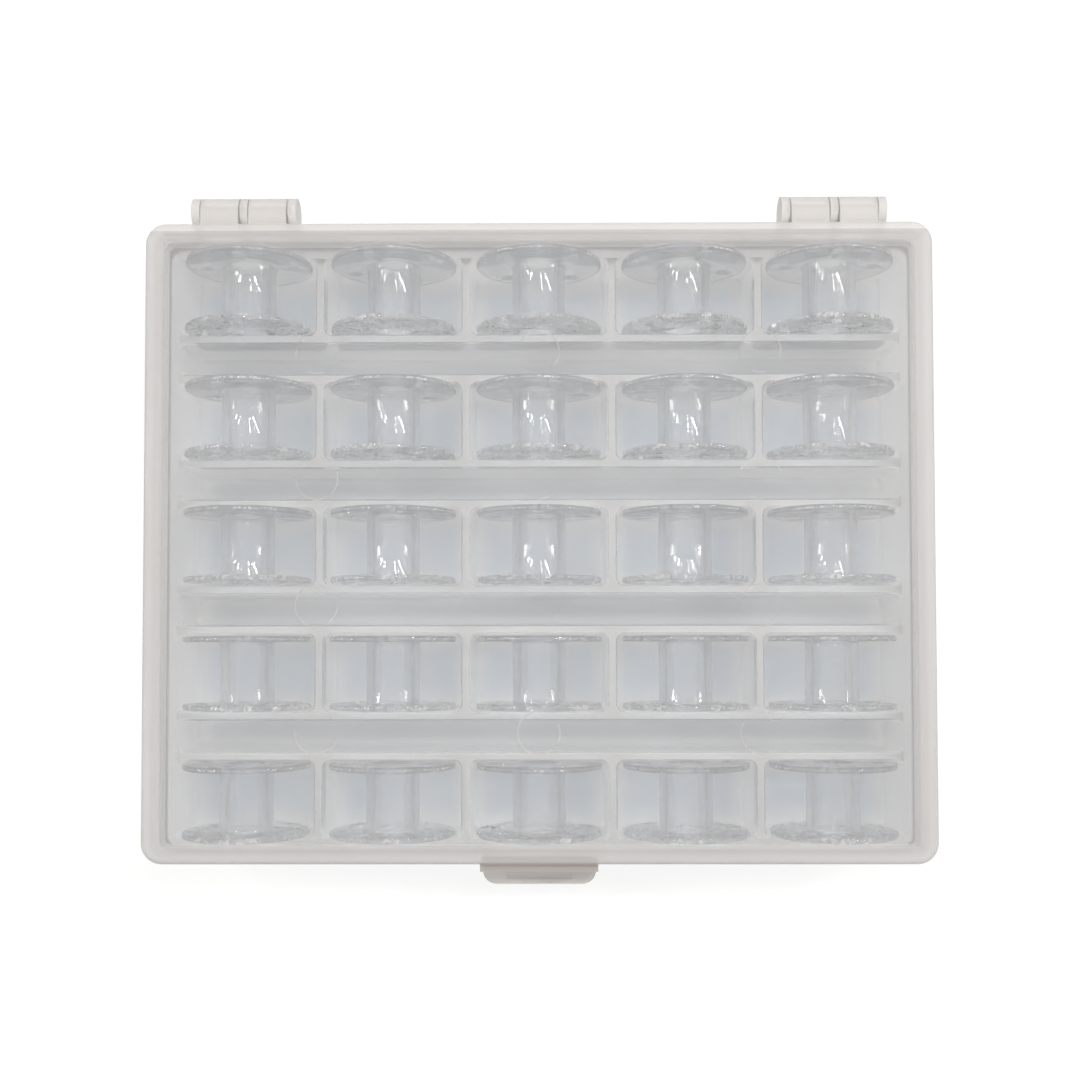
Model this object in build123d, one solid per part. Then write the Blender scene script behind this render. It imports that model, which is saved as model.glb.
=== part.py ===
from build123d import *
import os

# A hinged, clear-frosted bobbin box: a ribbed tray, a hinged lid with its
# flexing latch tab, and one clear sewing-machine bobbin standing in each pocket.
# Millimetres. +X runs along the box, +Y points to the hinges, +Z is up.
# The origin is the centre of the tray's flat underside.

# Bobbin, the class 15 size
bobbin_diameter = 20.3
bobbin_width = 11.7
flange_thickness = 1.1
flange_rim_radius = 0.35
core_diameter = 8.6
core_fillet = 0.5
bore_diameter = 6.1
bore_chamfer = 0.4
thread_hole_diameter = 2.0
thread_hole_circle = 14.2      # diameter of the circle that the thread holes lie on
thread_hole_count = 4

# How the bobbins stand in the box
columns = 5
rows = 5
side_clearance = 0.9           # flange rim to divider, each side
end_clearance = 0.35           # flange face to row rib, each end
rest_gap = 0.2                 # flange rim over the floor
lid_gap = 0.4                  # flange rim under the lid
turn_step = 67                 # degrees from one bobbin's turn to the next one's

# Tray
floor_thickness = 1.5
divider_thickness = 1.55
rib_thickness = 1.5
rib_height = 11.8
channel_width = 4.95
tray_wall = 1.05
inner_corner_radius = 0.85     # upright corners inside the tray
pocket_corner_radius = 1.2
floor_fillet = 0.8
rib_edge_bevel = 0.3
foot_edge_radius = 0.8
rim_drop = 3.7                 # tray rim below the lid's underside
ledge_height = 1.4             # ledge round the tray that the lid stops on
rim_edge_radius = 0.35         # tray rim, ledge and skirt edges

# Lid
lid_thickness = 1.4
lid_wall = 1.15
lid_fit = 0.2                  # lid skirt to tray wall, and to the ledge
lid_edge_radius = 0.9
skirt_overlap = 4.4            # skirt reaches this far down over the tray rim
pin_mark_diameter = 6.5
pin_mark_depth = 0.12
pin_mark_spacing_x = 34.2
pin_mark_spacing_y = 19.6
pin_mark_columns = 3
pin_mark_rows = 4

# Hinges
hinge_inset = 13.45            # hinge centre in from the lid's end
hinge_width = 16.8
cheek_thickness = 1.3
middle_cheek_thickness = 1.2
cheek_play = 0.25
cheek_foot = 3.6               # cheek reaches this far below the ledge, at the wall
cheek_brow = 1.2               # and this far at the lid's rear face
hinge_pin_diameter = 2.5
hinge_pin_clearance = 0.08
knuckle_wall = 1.15
hinge_throat = 2.05            # knuckle to the lid's rear face
snap_interference = 0.25       # throat is this much narrower than the pin, each side

# Latch
latch_width = 18.2
latch_drop = 3.4               # tab's root below the lid's top
latch_arm_thickness = 1.3
latch_boss_height = 1.3
hook_engagement = 0.7          # hook reaches this far in under the ledge
hook_height = 1.6
hook_lead_in = 0.55            # slope under the hook that lets it ride over the ledge
lip_reach = 3.5                # thumb lip beyond the arm
lip_thickness = 1.2
lip_corner_radius = 2.2
thumb_recess_width = 10.6
thumb_recess_depth = 0.35
thumb_recess_reach = 2.0

# Worked out from the sizes above
pocket_x = bobbin_diameter + 2 * side_clearance
pocket_y = bobbin_width + 2 * end_clearance
pitch_x = pocket_x + divider_thickness
pitch_y = pocket_y + 2 * rib_thickness + channel_width
inner_x = columns * pocket_x + (columns - 1) * divider_thickness
inner_y = rows * pocket_y + (rows - 1) * (2 * rib_thickness + channel_width)
tray_x = inner_x + 2 * tray_wall
tray_y = inner_y + 2 * tray_wall
lid_x = tray_x + 2 * (lid_fit + lid_wall)
lid_y = tray_y + 2 * (lid_fit + lid_wall)

rib_top = floor_thickness + rib_height
bobbin_axis_z = floor_thickness + rest_gap + bobbin_diameter / 2
lid_underside = bobbin_axis_z + bobbin_diameter / 2 + lid_gap
lid_top = lid_underside + lid_thickness
rim_top = lid_underside - rim_drop
skirt_bottom = rim_top - skirt_overlap
ledge_top = skirt_bottom - lid_fit
ledge_bottom = ledge_top - ledge_height

tray_corner_radius = inner_corner_radius + tray_wall
skirt_corner_radius = tray_corner_radius + lid_fit
lid_corner_radius = skirt_corner_radius + lid_wall

hinge_bore_radius = hinge_pin_diameter / 2 + hinge_pin_clearance
knuckle_radius = hinge_bore_radius + knuckle_wall
hinge_y = lid_y / 2 + hinge_throat + knuckle_radius
hinge_z = ledge_top + lid_fit / 2
hinge_centres = [-(lid_x / 2 - hinge_inset), lid_x / 2 - hinge_inset]
knuckle_length = (hinge_width - middle_cheek_thickness) / 2 - cheek_thickness - 2 * cheek_play

column_x = [(i - (columns - 1) / 2) * pitch_x for i in range(columns)]
row_y = [((rows - 1) / 2 - j) * pitch_y for j in range(rows)]       # rear row first


def slab(size_x, size_y, low, high, radius):
    """A plate with rounded corners between two heights."""
    outline = RectangleRounded(size_x, size_y, radius)
    return Pos(0, 0, low) * extrude(outline, high - low)


def plate_along_x(points, centre_x, length):
    """A closed Y-Z outline made into a plate that is centred on centre_x."""
    face = make_face(Polyline([(0, y, z) for y, z in points], close=True))
    return Pos(centre_x - length / 2, 0, 0) * extrude(face, length, dir=(1, 0, 0))


def rod_along_x(radius, centre_x, length):
    """A cylinder on the hinge axis."""
    return Pos(centre_x, hinge_y, hinge_z) * Rot(0, 90, 0) * Cylinder(radius, length)


def hollow(size_x, size_y):
    """The space of one pocket or channel, rounded at its corners and floor, with a bevelled mouth."""
    space = Box(size_x, size_y, rib_height, align=(Align.CENTER, Align.CENTER, Align.MIN))
    space = fillet(space.edges().filter_by(Axis.Z), pocket_corner_radius)
    space = fillet(space.edges().group_by(Axis.Z)[0], floor_fillet)
    mouth = extrude(RectangleRounded(size_x, size_y, pocket_corner_radius), rib_edge_bevel, taper=-45)
    return space + Pos(0, 0, rib_height - rib_edge_bevel) * mouth


def tray_shell():
    """The open tray, solid up to the rib tops, with its stop ledge."""
    body = slab(tray_x, tray_y, 0, rim_top, tray_corner_radius)
    body = fillet(body.edges().group_by(Axis.Z)[0], foot_edge_radius)
    above_ribs = slab(inner_x, inner_y, rib_top, rim_top + 1, inner_corner_radius)
    body -= above_ribs
    body = fillet(body.edges().group_by(Axis.Z)[-1], rim_edge_radius)
    ledge = slab(lid_x, lid_y, ledge_bottom, ledge_top, lid_corner_radius)
    ledge = fillet(ledge.edges().filter_by(Axis.Z, reverse=True), rim_edge_radius)
    ledge -= slab(inner_x, inner_y, ledge_bottom - 1, ledge_top + 1, inner_corner_radius)
    return body + ledge


def tray_hollows():
    """Every pocket, and the finger channel between each two rows, kept inside the walls."""
    pocket = hollow(pocket_x, pocket_y)
    channel = hollow(inner_x, channel_width)
    places = [(x, y, pocket) for y in row_y for x in column_x]
    places += [(0, (rear + front) / 2, channel) for rear, front in zip(row_y, row_y[1:])]
    inside = slab(inner_x, inner_y, floor_thickness, rib_top, inner_corner_radius)
    return [(Pos(x, y, floor_thickness) * space) & inside for x, y, space in places]


def hinge_cheek(centre_x, thickness):
    """One upright plate behind the tray that carries the hinge pin."""
    rear = hinge_y
    wall = tray_y / 2 - tray_wall / 2
    outline = [(wall, ledge_top), (rear, ledge_top), (rear, hinge_z - knuckle_radius),
               (lid_y / 2, ledge_bottom - cheek_brow), (wall, ledge_bottom - cheek_foot)]
    return plate_along_x(outline, centre_x, thickness) + rod_along_x(knuckle_radius, centre_x, thickness)


def tray_hinge(centre_x):
    """Two end cheeks and a middle one, joined by the pin."""
    end = (hinge_width - cheek_thickness) / 2
    cheeks = hinge_cheek(centre_x - end, cheek_thickness) + hinge_cheek(centre_x + end, cheek_thickness)
    middle = hinge_cheek(centre_x, middle_cheek_thickness)
    return cheeks + middle + rod_along_x(hinge_pin_diameter / 2, centre_x, hinge_width)


def base_tray():
    tray = tray_shell() - tray_hollows()
    for centre_x in hinge_centres:
        tray += tray_hinge(centre_x)
    return tray


def lid_knuckle(centre_x):
    """A hook that snaps down over the pin, on an arm from the skirt."""
    root = lid_y / 2 - lid_wall / 2
    low, high = hinge_z + hinge_bore_radius, hinge_z + knuckle_radius
    outline = [(root, low), (hinge_y, low), (hinge_y, high), (root, high)]
    arm = plate_along_x(outline, centre_x, knuckle_length)
    ring = rod_along_x(knuckle_radius, centre_x, knuckle_length)
    bore = rod_along_x(hinge_bore_radius, centre_x, knuckle_length + 1)
    throat_half = hinge_pin_diameter / 2 - snap_interference
    throat = Box(knuckle_length + 1, 2 * throat_half, knuckle_radius + 1,
                 align=(Align.CENTER, Align.CENTER, Align.MAX))
    return arm + ring - bore - Pos(centre_x, hinge_y, hinge_z) * throat


def latch_outline(points):
    """Turn (outward from the lid's front face, height) pairs into (Y, Z)."""
    return [(-(lid_y / 2 + out), z) for out, z in points]


def latch_boss():
    """The step on the front of the lid that the tab hangs from."""
    root = lid_top - latch_drop
    reach = lid_fit + latch_arm_thickness
    points = [(-lid_wall / 2, root), (reach, root), (reach, root + latch_boss_height / 2),
              (0, root + latch_boss_height), (-lid_wall / 2, root + latch_boss_height)]
    return plate_along_x(latch_outline(points), 0, latch_width)


def lid():
    cover = slab(lid_x, lid_y, skirt_bottom, lid_top, lid_corner_radius)
    cover = fillet(cover.edges().group_by(Axis.Z)[-1], lid_edge_radius)
    inside_x, inside_y = lid_x - 2 * lid_wall, lid_y - 2 * lid_wall
    cover -= slab(inside_x, inside_y, skirt_bottom - 1, lid_underside, skirt_corner_radius)
    mark = Cylinder(pin_mark_diameter / 2, pin_mark_depth, align=(Align.CENTER, Align.CENTER, Align.MIN))
    spots = GridLocations(pin_mark_spacing_x, pin_mark_spacing_y, pin_mark_columns, pin_mark_rows)
    cover -= [Pos(0, 0, lid_underside) * spot * mark for spot in spots]
    cover += latch_boss()
    knuckle_offset = middle_cheek_thickness / 2 + cheek_play + knuckle_length / 2
    for centre_x in hinge_centres:
        cover += lid_knuckle(centre_x - knuckle_offset)
        cover += lid_knuckle(centre_x + knuckle_offset)
    return cover


def latch_tab():
    """The sprung tab: an arm, a hook under the tray's ledge and a thumb lip."""
    root = lid_top - latch_drop
    arm_out = lid_fit + latch_arm_thickness
    hook_top = ledge_bottom - lid_fit
    hook_bottom = hook_top - hook_height
    lip_top = hook_bottom + lip_thickness
    points = [(lid_fit, root), (arm_out, root), (arm_out, lip_top), (arm_out + lip_reach, lip_top),
              (arm_out + lip_reach, hook_bottom), (hook_lead_in, hook_bottom),
              (-hook_engagement, hook_bottom + hook_lead_in), (-hook_engagement, hook_top),
              (lid_fit, hook_top)]
    tab = plate_along_x(latch_outline(points), 0, latch_width)
    tip_y = -(lid_y / 2 + arm_out + lip_reach)
    corners = [e for e in tab.edges().filter_by(Axis.Z) if abs(e.center().Y - tip_y) < 0.01]
    tab = fillet(corners, lip_corner_radius)
    recess = Box(thumb_recess_width, thumb_recess_reach, thumb_recess_depth,
                 align=(Align.CENTER, Align.MIN, Align.MAX))
    return tab - Pos(0, tip_y + (lip_reach - thumb_recess_reach) / 2, lip_top) * recess


def bobbin():
    """A clear bobbin about the origin, its axis along Y."""
    flange_radius = bobbin_diameter / 2
    core_length = bobbin_width - 2 * flange_thickness
    body = Cylinder(core_diameter / 2, bobbin_width)
    flange = Cylinder(flange_radius, flange_thickness)
    flange = fillet(flange.edges(), flange_rim_radius)
    reach = (core_length + flange_thickness) / 2
    body += [Pos(0, 0, reach) * flange, Pos(0, 0, -reach) * flange]
    roots = [e for e in body.edges().filter_by(GeomType.CIRCLE)
             if abs(e.radius - core_diameter / 2) < 0.01 and abs(e.center().Z) < core_length / 2 + 0.01]
    body = fillet(roots, core_fillet)
    body -= Cylinder(bore_diameter / 2, bobbin_width + 1)
    mouths = [e for e in body.edges().filter_by(GeomType.CIRCLE) if abs(e.radius - bore_diameter / 2) < 0.01]
    body = chamfer(mouths, bore_chamfer)
    hole = Cylinder(thread_hole_diameter / 2, bobbin_width + 1)
    body -= [spot * hole for spot in PolarLocations(thread_hole_circle / 2, thread_hole_count)]
    return Rot(90, 0, 0) * body


def write_bobbins():
    """One bobbin for each pocket, each left at its own turn."""
    shape = bobbin()
    for j, y in enumerate(row_y):
        for i, x in enumerate(column_x):
            turn = turn_step * (j * columns + i) % 360
            placed = Pos(x, y, bobbin_axis_z) * Rot(0, turn, 0) * shape
            export_step(placed, f"parts/bobbin_r{j + 1}c{i + 1}.step")


os.makedirs("parts", exist_ok=True)
export_step(base_tray(), "parts/base_tray.step")
export_step(lid(), "parts/lid.step")
export_step(latch_tab(), "parts/latch_tab.step")
write_bobbins()
print(f"lid {lid_x:.2f} x {lid_y:.2f}, height {lid_top:.2f}, hinge axis y {hinge_y:.2f} z {hinge_z:.2f} mm")
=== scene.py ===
# Hinged bobbin box in frosted polypropylene with clear bobbins, seen from above
import bpy
import math
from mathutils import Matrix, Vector


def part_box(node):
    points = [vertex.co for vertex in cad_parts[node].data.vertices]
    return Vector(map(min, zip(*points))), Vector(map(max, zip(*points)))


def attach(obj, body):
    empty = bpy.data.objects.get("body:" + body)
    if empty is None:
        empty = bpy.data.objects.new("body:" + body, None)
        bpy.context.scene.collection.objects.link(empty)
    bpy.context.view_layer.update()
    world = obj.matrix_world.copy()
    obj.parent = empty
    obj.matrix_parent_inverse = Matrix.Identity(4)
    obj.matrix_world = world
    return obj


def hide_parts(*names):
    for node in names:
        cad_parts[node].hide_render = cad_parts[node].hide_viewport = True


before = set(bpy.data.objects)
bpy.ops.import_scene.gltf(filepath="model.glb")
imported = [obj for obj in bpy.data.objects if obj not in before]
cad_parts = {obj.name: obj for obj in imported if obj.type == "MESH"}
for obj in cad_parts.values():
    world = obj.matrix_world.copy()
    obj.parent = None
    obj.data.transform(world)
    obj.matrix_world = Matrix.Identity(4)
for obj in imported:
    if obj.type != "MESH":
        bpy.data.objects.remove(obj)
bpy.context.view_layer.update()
mm = 0.001
latchSideY = 49.3 * mm      # from the middle to the lid's front face
print("frame loaded:", len(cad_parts), "parts")


# Small helpers

def hexColour(code):
    def channel(pair):
        value = int(pair, 16) / 255
        return value / 12.92 if value <= 0.04045 else ((value + 0.055) / 1.055) ** 2.4
    return tuple(channel(code[i:i + 2]) for i in (1, 3, 5)) + (1.0,)


def newMaterial(name):
    material = bpy.data.materials.new(name)
    material.use_nodes = True
    material.node_tree.nodes.clear()
    return material


def addNode(tree, kind, settings=None, links=None):
    # a socket is given by its name or its number, and a node given as a source stands for its first output
    node = tree.nodes.new(kind)
    for key, value in (settings or {}).items():
        if isinstance(key, int) or key in node.inputs:
            node.inputs[key].default_value = value
        else:
            setattr(node, key, value)
    for key, source in (links or {}).items():
        tree.links.new(source.outputs[0] if isinstance(source, bpy.types.Node) else source, node.inputs[key])
    return node


def selectFaces(mesh, wanted):
    bpy.ops.object.mode_set(mode="OBJECT")
    bpy.context.tool_settings.mesh_select_mode = (False, False, True)
    for points in (mesh.vertices, mesh.edges):
        points.foreach_set("select", [False] * len(points))
    for face in mesh.polygons:
        face.select = wanted(face)
    bpy.ops.object.mode_set(mode="EDIT")


def deselectAll():
    bpy.ops.object.select_all(action="DESELECT")


def pickOnly(thing):
    deselectAll()
    thing.select_set(True)
    bpy.context.view_layer.objects.active = thing


def applyModifier(thing, kind, **settings):
    pickOnly(thing)
    modifier = thing.modifiers.new(kind.lower(), kind)
    for name, value in settings.items():
        setattr(modifier, name, value)
    bpy.ops.object.modifier_apply(modifier=modifier.name)


# Camera, as the box was looked at: almost straight down, a little from the latch side

viewpoint = {
    "place": (1.53 * mm, -16.23 * mm, 212.8 * mm),
    "turn": (0.0313, 0.0070, -0.0013),
    "lens": 41.33,
    "sensor": 36,
    "shiftY": 0.0631,
    "nearest": 0.005,
}

cameraData = bpy.data.cameras.new("camera")
cameraData.sensor_width = viewpoint["sensor"]
cameraData.lens = viewpoint["lens"]
cameraData.shift_y = viewpoint["shiftY"]
cameraData.clip_start = viewpoint["nearest"]
cameraThing = bpy.data.objects.new("camera", cameraData)
cameraThing.location = viewpoint["place"]
cameraThing.rotation_euler = viewpoint["turn"]
bpy.context.scene.collection.objects.link(cameraThing)
bpy.context.scene.camera = cameraThing
print("camera ready")


# Polypropylene: natural, unpigmented, moulded thin; cloudy, waxy and see-through,
# and whiter wherever a wall or rib is looked at end on, through its whole depth

polypropylene = {
    "hingeColour": "#f3f1f0",   # knuckles and cheeks are thick, so they look whiter
    "hingeAlpha": 0.60,
    "roughness": 0.50,
    "ior": 1.49,
    "grainSize": 0.35 * mm,     # spark-eroded mould texture, drawn coarser than it is so that it shows
    "grainDepth": 0.006 * mm,
    "grainStrength": 0.5,
    "flowSize": 22 * mm,        # cloudiness where the melt folded
    "flowShare": 0.10,
    "flowRoughness": 0.6,
    "flowFrom": 0.3,            # the noise's usual lowest and highest values
    "flowTo": 0.7,
}
lidLook = {
    "colour": "#e2e2e3",
    "alpha": 0.17,              # share of the light that one face holds back
    "wallAlpha": 0.50,          # the same for the upright walls
    "wallWhite": 0.0,
    "floorAlpha": 0.17,
    "floorTop": 0.0,            # none of it is floor
    "endColour": "#cfcecf",
    "endAlpha": 0.62,           # and over the skirt
    "skirt": 3.6 * mm,          # how far in from the edge that starts
    "soft": 2.4 * mm,           # and the width over which it grows
    "topFacing": 0.5,           # how far a face turns up where the skirt shows through it
}
trayLook = {
    "colour": "#a4b5c5",
    "alpha": 0.40,
    "wallAlpha": 0.46,
    "wallWhite": 0.8,           # how far the walls go towards the rib tops' white
    "floorAlpha": 0.62,         # on the pocket floors, made more opaque so that they read darker: painted shade of the deep floors
    "floorTop": 3.0 * mm,
    "footReach": 3.5 * mm,      # painted light: near the foot of a wall the sheet is whitened and made clearer, standing in for the light that comes through the wall
    "footAlpha": 0.43,
    "footFrom": 0.95,           # share of open sky over the sheet where the foot begins
    "footTo": 0.50,             # and where it is palest
    "endColour": "#d2d4d6",
    "endAlpha": 0.84,           # on the rib tops
    "ribTop": 13.3 * mm,
    "ribFacing": 0.6,
    "hingeY": 48.0 * mm,        # behind this the hinge cheeks stand
}
latchShadeLook = {
    "colour": "#dad4d0",        # warmer and more opaque than the lid, so darker: partly its thicker plastic, partly painted shade of the box's shadow it lies in
    "alpha": 0.50,
    "wallAlpha": 0.55,
    "wallWhite": 0.0,
    "floorAlpha": 0.50,
    "floorTop": 0.0,
    "endColour": "#dad4d0",
}
pinMarks = {
    "radius": 3.25 * mm,
    "line": 0.14 * mm,
    "stepX": 34.2 * mm,
    "stepY": 19.6 * mm,
    "reachX": 45 * mm,
    "reachY": 40 * mm,
    "below": 23.2 * mm,         # they are on the lid's underside
    "strength": 0.22,
    "wear": 5 * mm,             # and the rings are worn through here and there
    "wearFrom": 0.42,
    "wearTo": 0.56,
}
wallFacing = 0.5                # a face is a wall if its upward share is below this
slack = 0.05 * mm               # so that a face on a limit is safely on one side of it
specks = {"spacing": 21 * mm, "size": 0.22 * mm, "colour": "#3a3836"}      # dark dust in the melt


def skirtBelow(tree, place, facing):
    # over the skirt, which is looked at end on
    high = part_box("lid")[1]
    past = []
    for axis, edge in (("X", high.x), ("Y", latchSideY)):
        out = addNode(tree, "ShaderNodeMath", {"operation": "ABSOLUTE"}, {0: place[axis]})
        past.append(addNode(tree, "ShaderNodeMath", {"operation": "SUBTRACT", 1: edge - lidLook["skirt"]},
                            {0: out}))
    outward = addNode(tree, "ShaderNodeMath", {"operation": "MAXIMUM"}, {0: past[0], 1: past[1]})
    ramp = addNode(tree, "ShaderNodeMapRange", {"From Min": 0.0, "From Max": lidLook["soft"]},
                   {"Value": outward})
    upward = addNode(tree, "ShaderNodeMath", {"operation": "GREATER_THAN", 1: lidLook["topFacing"]},
                     {0: facing["Z"]})
    return addNode(tree, "ShaderNodeMath", {"operation": "MULTIPLY"}, {0: ramp, 1: upward})


def ribBelow(tree, place, facing):
    # on the rib tops, where the ribs are looked at end on
    high = addNode(tree, "ShaderNodeMath", {"operation": "GREATER_THAN", 1: trayLook["ribTop"] - slack},
                   {0: place["Z"]})
    inside = addNode(tree, "ShaderNodeMath", {"operation": "LESS_THAN", 1: trayLook["hingeY"]},
                     {0: place["Y"]})
    upward = addNode(tree, "ShaderNodeMath", {"operation": "GREATER_THAN", 1: trayLook["ribFacing"]},
                     {0: facing["Z"]})
    both = addNode(tree, "ShaderNodeMath", {"operation": "MULTIPLY"}, {0: high, 1: inside})
    return addNode(tree, "ShaderNodeMath", {"operation": "MULTIPLY"}, {0: both, 1: upward})


def pinMarkLines(tree, place):
    # thin rings left by the pins that push the lid out of its mould, worn through here and there
    squares = []
    for axis, step, offset in (("X", pinMarks["stepX"], 0.0), ("Y", pinMarks["stepY"], 0.5)):
        cell = addNode(tree, "ShaderNodeMath", {"operation": "MULTIPLY_ADD", 1: 1 / step, 2: offset},
                       {0: place[axis]})
        nearest = addNode(tree, "ShaderNodeMath", {"operation": "ROUND"}, {0: cell})
        away = addNode(tree, "ShaderNodeMath", {"operation": "SUBTRACT"}, {0: cell, 1: nearest})
        metres = addNode(tree, "ShaderNodeMath", {"operation": "MULTIPLY", 1: step}, {0: away})
        squares.append(addNode(tree, "ShaderNodeMath", {"operation": "POWER", 1: 2.0}, {0: metres}))
    total = addNode(tree, "ShaderNodeMath", {"operation": "ADD"}, {0: squares[0], 1: squares[1]})
    radius = addNode(tree, "ShaderNodeMath", {"operation": "SQRT"}, {0: total})
    off = addNode(tree, "ShaderNodeMath", {"operation": "SUBTRACT", 1: pinMarks["radius"]}, {0: radius})
    line = addNode(tree, "ShaderNodeMath", {"operation": "COMPARE", 1: 0.0, 2: pinMarks["line"]}, {0: off})
    for axis, reach in (("X", pinMarks["reachX"]), ("Y", pinMarks["reachY"])):
        near = addNode(tree, "ShaderNodeMath", {"operation": "COMPARE", 1: 0.0, 2: reach}, {0: place[axis]})
        line = addNode(tree, "ShaderNodeMath", {"operation": "MULTIPLY"}, {0: line, 1: near})
    flat = addNode(tree, "ShaderNodeCombineXYZ", {}, {"X": place["X"], "Y": place["Y"]})
    wear = addNode(tree, "ShaderNodeTexNoise", {"Scale": 1 / pinMarks["wear"], "Detail": 1.0},
                   {"Vector": flat})
    kept = addNode(tree, "ShaderNodeMapRange",
                   {"From Min": pinMarks["wearFrom"], "From Max": pinMarks["wearTo"]}, {"Value": wear})
    under = addNode(tree, "ShaderNodeMath", {"operation": "LESS_THAN", 1: pinMarks["below"]}, {0: place["Z"]})
    line = addNode(tree, "ShaderNodeMath", {"operation": "MULTIPLY"}, {0: line, 1: kept})
    return addNode(tree, "ShaderNodeMath", {"operation": "MULTIPLY"}, {0: line, 1: under})


def makePolypropylene(name, look, endOn=None, extra=None):
    material = newMaterial(name)
    tree = material.node_tree
    where = addNode(tree, "ShaderNodeTexCoord")
    here = where.outputs["Object"]
    place = addNode(tree, "ShaderNodeSeparateXYZ", {}, {"Vector": here}).outputs
    facing = addNode(tree, "ShaderNodeSeparateXYZ", {}, {"Vector": where.outputs["Normal"]}).outputs
    upright = addNode(tree, "ShaderNodeMath", {"operation": "COMPARE", 1: 0.0, 2: wallFacing},
                      {0: facing["Z"]})
    low = addNode(tree, "ShaderNodeMath", {"operation": "LESS_THAN", 1: look["floorTop"]}, {0: place["Z"]})
    behind = addNode(tree, "ShaderNodeMath", {"operation": "GREATER_THAN", 1: trayLook["hingeY"]},
                     {0: place["Y"]})

    white = addNode(tree, "ShaderNodeMath", {"operation": "MULTIPLY", 1: look["wallWhite"]}, {0: upright})
    # painted shade: the low floors are made more opaque, so that less of the white table shows through and
    # they read darker
    alpha = addNode(tree, "ShaderNodeMapRange", {"To Min": look["alpha"], "To Max": look["floorAlpha"]},
                    {"Value": low})
    alpha = addNode(tree, "ShaderNodeMapRange", {"To Max": look["wallAlpha"]},
                    {"Value": upright, "To Min": alpha})
    if "footReach" in look:
        # painted light: ambient occlusion whitens and clears the sheet at the foot of each wall, standing in
        # for light let through the wall
        nook = addNode(tree, "ShaderNodeAmbientOcclusion", {"samples": 4, "Distance": look["footReach"]})
        foot = addNode(tree, "ShaderNodeMapRange", {"From Min": look["footFrom"], "From Max": look["footTo"]},
                       {"Value": nook.outputs["AO"]})
        white = addNode(tree, "ShaderNodeMath", {"operation": "MAXIMUM"}, {0: white, 1: foot})
        alpha = addNode(tree, "ShaderNodeMapRange", {"To Max": look["footAlpha"]},
                        {"Value": foot, "To Min": alpha})
    if endOn:
        share = endOn(tree, place, facing)
        white = addNode(tree, "ShaderNodeMath", {"operation": "MAXIMUM"}, {0: white, 1: share})
        alpha = addNode(tree, "ShaderNodeMapRange", {"To Max": look["endAlpha"]},
                        {"Value": share, "To Min": alpha})
    alpha = addNode(tree, "ShaderNodeMapRange", {"To Max": polypropylene["hingeAlpha"]},
                    {"Value": behind, "To Min": alpha})
    colour = addNode(tree, "ShaderNodeMix", {"data_type": "RGBA", 6: hexColour(look["colour"]),
                     7: hexColour(look["endColour"])}, {0: white}).outputs[2]
    colour = addNode(tree, "ShaderNodeMix", {"data_type": "RGBA", 7: hexColour(polypropylene["hingeColour"])},
                     {0: behind, 6: colour}).outputs[2]
    latchRootShade = addNode(tree, "ShaderNodeMath", {"operation": "LESS_THAN", 1: -latchSideY - 2 * slack},
                    {0: place["Y"]})      # the lid's root of the latch, painted with the latch's shade
    alpha = addNode(tree, "ShaderNodeMapRange", {"To Max": latchShadeLook["alpha"]},
                    {"Value": latchRootShade, "To Min": alpha})
    colour = addNode(tree, "ShaderNodeMix", {"data_type": "RGBA", 7: hexColour(latchShadeLook["colour"])},
                     {0: latchRootShade, 6: colour}).outputs[2]

    flow = addNode(tree, "ShaderNodeTexNoise",
                   {"Scale": 1 / polypropylene["flowSize"], "Detail": 1.0,
                    "Roughness": polypropylene["flowRoughness"]}, {"Vector": here})
    cloud = addNode(tree, "ShaderNodeMapRange",
                    {"From Min": polypropylene["flowFrom"], "From Max": polypropylene["flowTo"],
                     "To Min": 1 - polypropylene["flowShare"], "To Max": 1 + polypropylene["flowShare"]},
                    {"Value": flow.outputs["Fac"]})
    alpha = addNode(tree, "ShaderNodeMath", {"operation": "MULTIPLY"}, {0: alpha, 1: cloud})
    if extra:
        marks = addNode(tree, "ShaderNodeMath", {"operation": "MULTIPLY", 1: pinMarks["strength"]},
                        {0: extra(tree, place)})
        alpha = addNode(tree, "ShaderNodeMath", {"operation": "ADD"}, {0: alpha, 1: marks})
    dots = addNode(tree, "ShaderNodeTexVoronoi", {"Scale": 1 / specks["spacing"]}, {"Vector": here})
    dot = addNode(tree, "ShaderNodeMath", {"operation": "LESS_THAN", 1: specks["size"] / specks["spacing"]},
                  {0: dots.outputs["Distance"]})
    colour = addNode(tree, "ShaderNodeMix", {"data_type": "RGBA", 7: hexColour(specks["colour"])},
                     {0: dot, 6: colour}).outputs[2]
    alpha = addNode(tree, "ShaderNodeMath", {"operation": "MAXIMUM"}, {0: alpha, 1: dot})

    grain = addNode(tree, "ShaderNodeTexNoise", {"Scale": 1 / polypropylene["grainSize"], "Detail": 1.0},
                    {"Vector": here})
    bump = addNode(tree, "ShaderNodeBump",
                   {"Strength": polypropylene["grainStrength"], "Distance": polypropylene["grainDepth"]},
                   {"Height": grain.outputs["Fac"]})
    surface = addNode(tree, "ShaderNodeBsdfPrincipled",
                      {"Roughness": polypropylene["roughness"], "IOR": polypropylene["ior"]},
                      {"Base Color": colour, "Alpha": alpha.outputs[0], "Normal": bump.outputs["Normal"]})
    addNode(tree, "ShaderNodeOutputMaterial", {}, {"Surface": surface})
    return material


lidPlastic = makePolypropylene("polypropylene moulded lid", lidLook, skirtBelow, pinMarkLines)
trayPlastic = makePolypropylene("polypropylene moulded tray", trayLook, ribBelow)
latchPlastic = makePolypropylene("polypropylene latch with painted shade", latchShadeLook)
for name, material in (("base_tray", trayPlastic), ("lid", lidPlastic), ("latch_tab", latchPlastic)):
    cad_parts[name].data.materials.clear()
    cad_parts[name].data.materials.append(material)
print("polypropylene ready")


# Clear polystyrene bobbins

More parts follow.
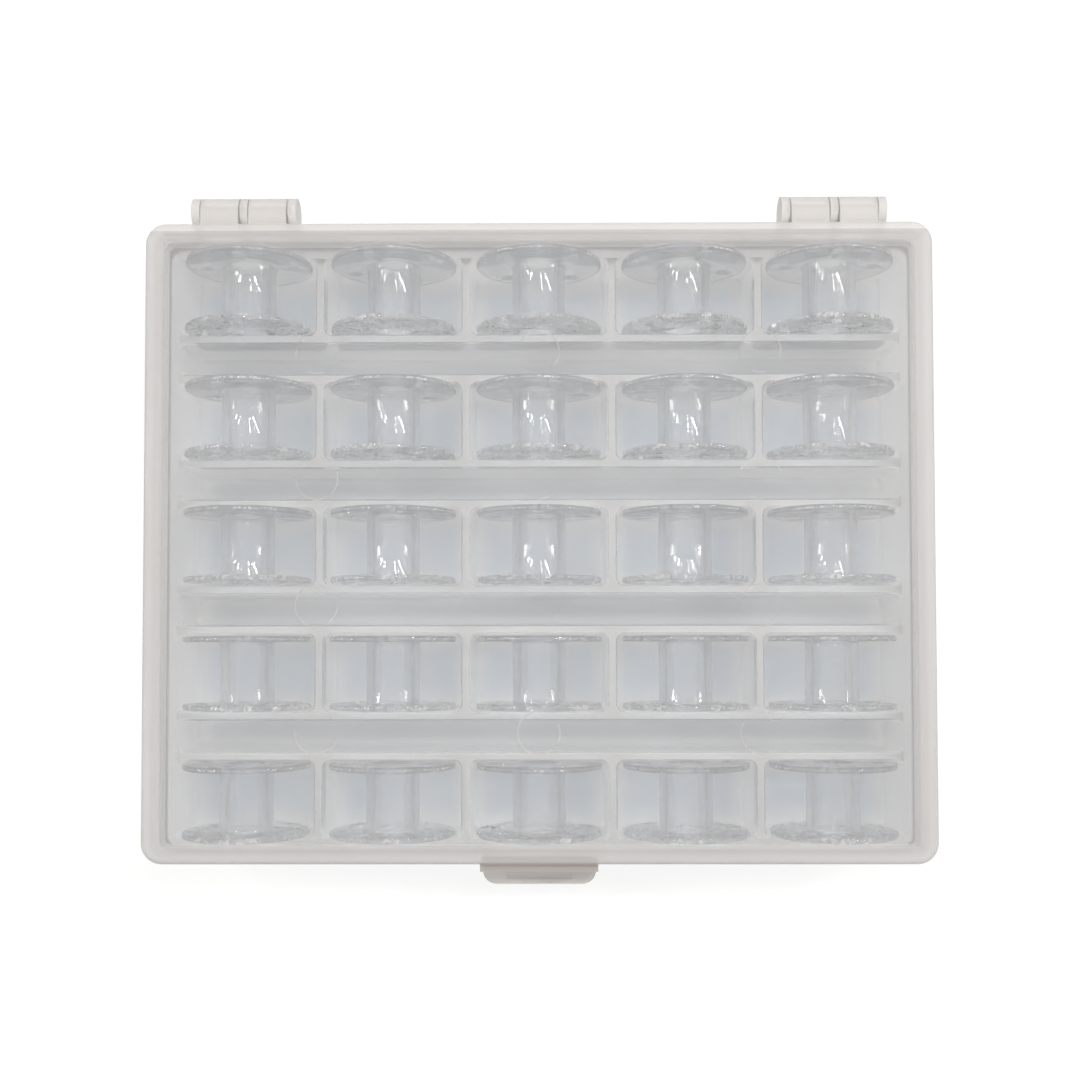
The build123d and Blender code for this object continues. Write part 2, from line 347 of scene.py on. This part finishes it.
bobbinShape = {
    "flangeThickness": 0.9 * mm,
    "coreRadius": 4.3 * mm,
    "boreRadius": 3.05 * mm,
    "rimRadius": 0.30 * mm,
    "rimSteps": 3,
    "holeRadius": 1.0 * mm,
    "holeCircle": 7.1 * mm,
    "holeCount": 4,
    "holeSides": 20,
    "holeEdge": 0.08 * mm,
    "holeEdgeSteps": 2,
    "sides": 96,
    "sharpFrom": 60,      # degrees between faces where an edge is rounded
    "smoothTo": 35,       # and up to where the shading runs on
    "turnStep": 67,       # degrees from one bobbin's turn to the next one's
    "scuffFrom": 0.5 * mm,    # past the core, where the front flange is scuffed
    "scuffRing": 0.7 * mm,    # and the width of the scuffed ring on the rear one
    "rimFrom": 0.2,       # axial share of the faces that make up a rounded rim
    "rimTo": 0.97,
}
flatEnd = 0.9         # a face belongs to an end if its axial share is above this
outerShare = 0.9      # and to the outside if it lies beyond this share of the radius

polystyrene = {
    "colour": "#fafbfc",
    "rimShadeColour": "#a9adb3",     # painted shade: the rounded rim is coloured darker, standing in for the dark edge that refraction gives any clear sheet
    "roughness": 0.03,
    "ior": 1.59,
    "haze": 0.05,               # share that fine scratches scatter as white
    "shade": (0.86, 0.88, 0.90, 1),
    "straightThrough": 0.28,    # share that a thin wall passes unbent
}
polishedRipple = {"size": 2.6 * mm, "depth": 0.005 * mm}    # slow ripples where the melt froze
scuffedRipple = {"size": 1.4 * mm, "depth": 0.06 * mm}     # mould marks that catch the light
facets = {"size": 0.6 * mm, "slope": 0.6}                   # small flats pressed in between them
scuffs = {                      # fine white rubs, in patches
    "size": 0.60 * mm,
    "from": 0.53,
    "to": 0.57,
    "clear": 0.0,
    "patch": 2.8 * mm,
    "patchFrom": 0.44,
    "patchTo": 0.58,
    "everywhere": 0.06,
}


def makePolystyrene(name, colour, ripple, scuffed):
    material = newMaterial(name)
    tree = material.node_tree
    here = addNode(tree, "ShaderNodeTexCoord").outputs["Object"]
    wave = addNode(tree, "ShaderNodeTexNoise", {"Scale": 1 / ripple["size"], "Detail": 1.0},
                   {"Vector": here})
    bump = addNode(tree, "ShaderNodeBump", {"Strength": 1.0, "Distance": ripple["depth"]},
                   {"Height": wave.outputs["Fac"]})
    surface = addNode(tree, "ShaderNodeBsdfPrincipled",
                      {"Base Color": hexColour(colour), "Roughness": polystyrene["roughness"],
                       "IOR": polystyrene["ior"], "Transmission Weight": 1 - polystyrene["haze"]},
                      {"Normal": bump})
    if scuffed:
        patch = addNode(tree, "ShaderNodeTexNoise", {"Scale": 1 / scuffs["patch"], "Detail": 1.0},
                        {"Vector": here})
        worn = addNode(tree, "ShaderNodeMapRange",
                       {"From Min": scuffs["patchFrom"], "From Max": scuffs["patchTo"]},
                       {"Value": patch.outputs["Fac"]})
        share = addNode(tree, "ShaderNodeMath", {"operation": "ADD", 1: scuffs["everywhere"]}, {0: worn})
        rub = addNode(tree, "ShaderNodeTexNoise", {"Scale": 1 / scuffs["size"], "Detail": 2.0},
                      {"Vector": here})
        rubbed = addNode(tree, "ShaderNodeMath", {"operation": "MULTIPLY"}, {0: rub.outputs["Fac"], 1: share})
        fleck = addNode(tree, "ShaderNodeMapRange", {"From Min": scuffs["from"], "From Max": scuffs["to"]},
                        {"Value": rubbed})
        clear = addNode(tree, "ShaderNodeMapRange",
                        {"To Min": 1 - polystyrene["haze"], "To Max": scuffs["clear"]}, {"Value": fleck})
        cell = addNode(tree, "ShaderNodeTexVoronoi", {"Scale": 1 / facets["size"]}, {"Vector": here})
        away = addNode(tree, "ShaderNodeVectorMath", {"operation": "SUBTRACT"},
                       {0: here, 1: cell.outputs["Position"]})
        tilt = addNode(tree, "ShaderNodeVectorMath", {"operation": "SUBTRACT", 1: (0.5, 0.5, 0.5)},
                       {0: cell.outputs["Color"]})
        slope = addNode(tree, "ShaderNodeVectorMath", {"operation": "DOT_PRODUCT"}, {0: away, 1: tilt})
        rough = addNode(tree, "ShaderNodeBump", {"Distance": facets["slope"]},
                        {"Height": slope.outputs["Value"], "Normal": bump, "Strength": worn})
        tree.links.new(clear.outputs[0], surface.inputs["Transmission Weight"])
        raised = addNode(tree, "ShaderNodeMix", {"data_type": "VECTOR", 5: (0.0, 0.0, 1.0)},
                         {0: fleck, 4: rough})
        tree.links.new(raised.outputs[1], surface.inputs["Normal"])      # a rub's burr stands up to the light
    passing = addNode(tree, "ShaderNodeBsdfTransparent", {"Color": polystyrene["shade"]})
    ray = addNode(tree, "ShaderNodeLightPath")
    share = addNode(tree, "ShaderNodeMath", {"operation": "MAXIMUM", 1: polystyrene["straightThrough"]},
                    {0: ray.outputs["Is Shadow Ray"]})
    mix = addNode(tree, "ShaderNodeMixShader", {}, {0: share, 1: surface, 2: passing})
    addNode(tree, "ShaderNodeOutputMaterial", {}, {"Surface": mix})
    return material


def makeBobbin():
    shape = bobbinShape
    low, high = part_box("bobbin_r1c1")
    width = high.y - low.y
    radius = (high.z - low.z) / 2
    innerFace = width / 2 - shape["flangeThickness"]
    deselectAll()
    bpy.ops.mesh.primitive_cylinder_add(vertices=shape["sides"], radius=radius, depth=width,
                                        rotation=(math.pi / 2, 0, 0))
    thing = bpy.context.object
    bpy.ops.object.transform_apply(location=False, rotation=True, scale=False)
    mesh = thing.data
    selectFaces(mesh, lambda f: abs(f.normal.y) > flatEnd)
    bpy.ops.mesh.inset(thickness=radius - shape["boreRadius"], depth=0)
    selectFaces(mesh, lambda f: abs(f.normal.y) > flatEnd and len(f.vertices) > 4)
    bpy.ops.mesh.bridge_edge_loops()      # the bore
    for side in (-1, 1):
        selectFaces(mesh, lambda f: math.hypot(f.center.x, f.center.z) > outerShare * radius)
        bpy.ops.mesh.bisect(plane_co=(0, side * innerFace, 0), plane_no=(0, 1, 0))
    selectFaces(mesh, lambda f: abs(f.center.y) < innerFace
                and math.hypot(f.center.x, f.center.z) > outerShare * radius)
    bpy.ops.mesh.extrude_region_shrink_fatten(
        TRANSFORM_OT_shrink_fatten={"value": shape["coreRadius"] - radius})      # the winding space
    bpy.ops.object.mode_set(mode="OBJECT")
    applyModifier(thing, "BEVEL", width=shape["rimRadius"], segments=shape["rimSteps"],
                  limit_method="ANGLE", angle_limit=math.radians(shape["sharpFrom"]))
    for k in range(shape["holeCount"]):
        angle = 2 * math.pi * k / shape["holeCount"]
        place = (shape["holeCircle"] * math.cos(angle), 0, shape["holeCircle"] * math.sin(angle))
        deselectAll()
        bpy.ops.mesh.primitive_cylinder_add(vertices=shape["holeSides"], radius=shape["holeRadius"],
                                            depth=2 * width, location=place, rotation=(math.pi / 2, 0, 0))
        drill = bpy.context.object
        applyModifier(thing, "BOOLEAN", operation="DIFFERENCE", object=drill, solver="EXACT")
        bpy.data.objects.remove(drill)
    applyModifier(thing, "BEVEL", width=shape["holeEdge"], segments=shape["holeEdgeSteps"],
                  limit_method="ANGLE", angle_limit=math.radians(shape["sharpFrom"]), use_clamp_overlap=False)
    pickOnly(thing)
    bpy.ops.object.shade_smooth_by_angle(angle=math.radians(shape["smoothTo"]))
    surfaces = (
        ("polystyrene polished", polystyrene["colour"], polishedRipple, False, lambda f, r: True),
        ("polystyrene scuffed", polystyrene["colour"], scuffedRipple, True,
         lambda f, r: r > (shape["coreRadius"] + shape["scuffFrom"] if f.center.y < 0
                           else radius - shape["scuffRing"])),
        # painted shade on the rear flange's rounded rim
        ("polystyrene rim with painted shade", polystyrene["rimShadeColour"], polishedRipple, False,
         lambda f, r: f.center.y > 0 and r > radius - shape["rimRadius"]
         and shape["rimFrom"] < abs(f.normal.y) < shape["rimTo"]),
    )
    for slot, (name, colour, ripple, scuffed, wanted) in enumerate(surfaces):
        thing.data.materials.append(makePolystyrene(name, colour, ripple, scuffed))
        thing.active_material_index = slot
        selectFaces(thing.data, lambda f: wanted(f, math.hypot(f.center.x, f.center.z)))
        bpy.ops.object.material_slot_assign()
        bpy.ops.object.mode_set(mode="OBJECT")
    return thing


firstBobbin = makeBobbin()
bobbinNames = sorted(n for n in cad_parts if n.startswith("bobbin_"))
for index, name in enumerate(bobbinNames):
    copy = firstBobbin.copy()
    copy.data = firstBobbin.data.copy()
    copy.name = "clear_" + name
    bpy.context.scene.collection.objects.link(copy)
    low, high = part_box(name)
    copy.location = (low + high) / 2
    copy.rotation_euler = (0, math.radians(bobbinShape["turnStep"] * index % 360), 0)
    pickOnly(copy)
    bpy.ops.object.transform_apply(location=True, rotation=True, scale=True)
    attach(copy, name)
    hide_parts(name)
bpy.data.objects.remove(firstBobbin)
print("bobbins ready:", len(bobbinNames))


# White table and lamps

studio = {
    "tableSize": 6.0,
    "tableTop": -0.0002,     # just under the box, so that the two never share a face
    "tableColour": "#848484",
    "tableGlow": 0.84,       # with the colour above it reads as white, without lighting the box
    "skyColour": "#f2f6fb",
    "skyStrength": 0.14,
    "thinWalls": 32,         # as many see-through faces as light may pass on its way
}
lamps = [      # name, place and size in metres, watts, colour
    ("left tube", (-0.60, 0.15, 0.55), (0.02, 0.10), 0.82, "#fffaf3"),
    ("left near tube", (-0.36, 0.15, 0.57), (0.02, 0.10), 0.72, "#fffaf3"),
    ("near tube", (0.12, 0.16, 0.58), (0.02, 0.10), 0.54, "#fffaf3"),
    ("right near tube", (0.33, 0.15, 0.57), (0.02, 0.10), 0.72, "#fffaf3"),
    ("right long tube", (0.52, 0.21, 0.55), (0.02, 0.30), 1.30, "#fffaf3"),
    ("far left", (-0.75, 0.10, 0.42), (0.06, 0.20), 0.84, "#fffaf3"),
    ("far right", (0.75, 0.10, 0.42), (0.06, 0.20), 0.84, "#fffaf3"),
    ("back panel", (0.05, 0.60, 0.50), (0.40, 0.06), 0.50, "#f4f7ff"),
    ("front panel", (0.05, -0.55, 0.45), (0.40, 0.08), 0.90, "#fff6ee"),
]


def seenRays(tree):
    # 1 for what the camera sees, straight or in gloss or through glass, and 0 for light on its way to the box
    ray = addNode(tree, "ShaderNodeLightPath")
    seen = addNode(tree, "ShaderNodeMath", {"operation": "MAXIMUM"},
                   {0: ray.outputs["Is Camera Ray"], 1: ray.outputs["Is Transmission Ray"]})
    return addNode(tree, "ShaderNodeMath", {"operation": "MAXIMUM"},
                   {0: seen, 1: ray.outputs["Is Glossy Ray"]})


def makeTable():
    deselectAll()
    bpy.ops.mesh.primitive_plane_add(size=studio["tableSize"], location=(0, 0, studio["tableTop"]))
    table = bpy.context.object
    table.name = "table"
    material = newMaterial("white table")
    tree = material.node_tree
    matt = addNode(tree, "ShaderNodeBsdfDiffuse", {"Color": hexColour(studio["tableColour"])})
    strength = addNode(tree, "ShaderNodeMath", {"operation": "MULTIPLY", 1: studio["tableGlow"]},
                       {0: seenRays(tree)})
    glow = addNode(tree, "ShaderNodeEmission", {}, {"Strength": strength})
    both = addNode(tree, "ShaderNodeAddShader", {}, {0: matt, 1: glow})
    addNode(tree, "ShaderNodeOutputMaterial", {}, {"Surface": both})
    table.data.materials.append(material)


def addLamp(name, place, size, power, colour):
    light = bpy.data.lights.new(name, "AREA")
    light.shape = "RECTANGLE"
    light.size, light.size_y = size
    light.energy = power
    light.color = hexColour(colour)[:3]
    lamp = bpy.data.objects.new(name, light)
    lamp.location = place
    lamp.rotation_euler = (-Vector(place)).to_track_quat("-Z", "Y").to_euler()      # at the box
    bpy.context.scene.collection.objects.link(lamp)


makeTable()
world = bpy.data.worlds.new("soft sky")
world.use_nodes = True
sky = world.node_tree
sky.nodes.clear()
strength = addNode(sky, "ShaderNodeMapRange", {"To Min": studio["skyStrength"], "To Max": 1.0},
                   {"Value": seenRays(sky)})
background = addNode(sky, "ShaderNodeBackground", {"Color": hexColour(studio["skyColour"])},
                     {"Strength": strength})
addNode(sky, "ShaderNodeOutputWorld", {}, {"Surface": background})
bpy.context.scene.world = world
for lamp in lamps:
    addLamp(*lamp)
bpy.context.scene.cycles.transparent_max_bounces = studio["thinWalls"]
bpy.context.scene.view_settings.view_transform = "Standard"
print("studio ready")
